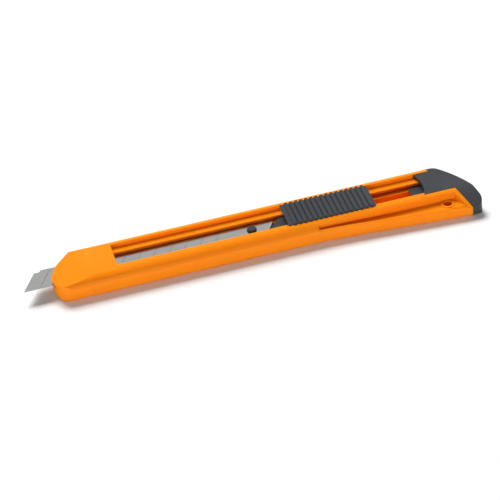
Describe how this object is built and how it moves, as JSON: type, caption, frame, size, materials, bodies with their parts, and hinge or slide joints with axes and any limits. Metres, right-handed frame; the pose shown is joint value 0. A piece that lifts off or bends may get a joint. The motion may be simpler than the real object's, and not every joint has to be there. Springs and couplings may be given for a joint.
{
  "type": "utility knife",
  "caption": "Slim snap-off utility knife: plastic handle with an open channel, ribbed thumb slider, segmented steel blade and pull-off end cap.",
  "frame": {"origin": "on the flat back, under the blade's centreline, halfway along the handle", "axes": "+X towards the end cap, so the blade points along -X; +Z out of the channel, away from the flat back; the cutting edge and the flared side of the grip face -Y"},
  "size_m": [0.1464, 0.0229, 0.0075],
  "materials": {
    "orange_plastic": "moulded plastic, satin gloss",
    "dark_plastic": "moulded plastic, fine matt",
    "blade_steel": "rolled and ground carbon steel",
    "spring_steel": "spring steel strip"
  },
  "bodies": {
    "handle": {"handle": "orange_plastic"},
    "slider": {"thumb_slider": "dark_plastic", "blade_carrier": "dark_plastic", "detent_spring": "spring_steel", "blade": "blade_steel"},
    "cap": {"end_cap": "dark_plastic"}
  },
  "joints": [
    {"name": "blade_slide", "type": "slide", "parent": "handle", "child": "slider", "axis": [-1, 0, 0], "range_m": [-0.01, 0.05]},
    {"name": "cap_pull", "type": "slide", "parent": "handle", "child": "cap", "axis": [1, 0, 0], "range_m": [0, 0.03]}
  ]
}
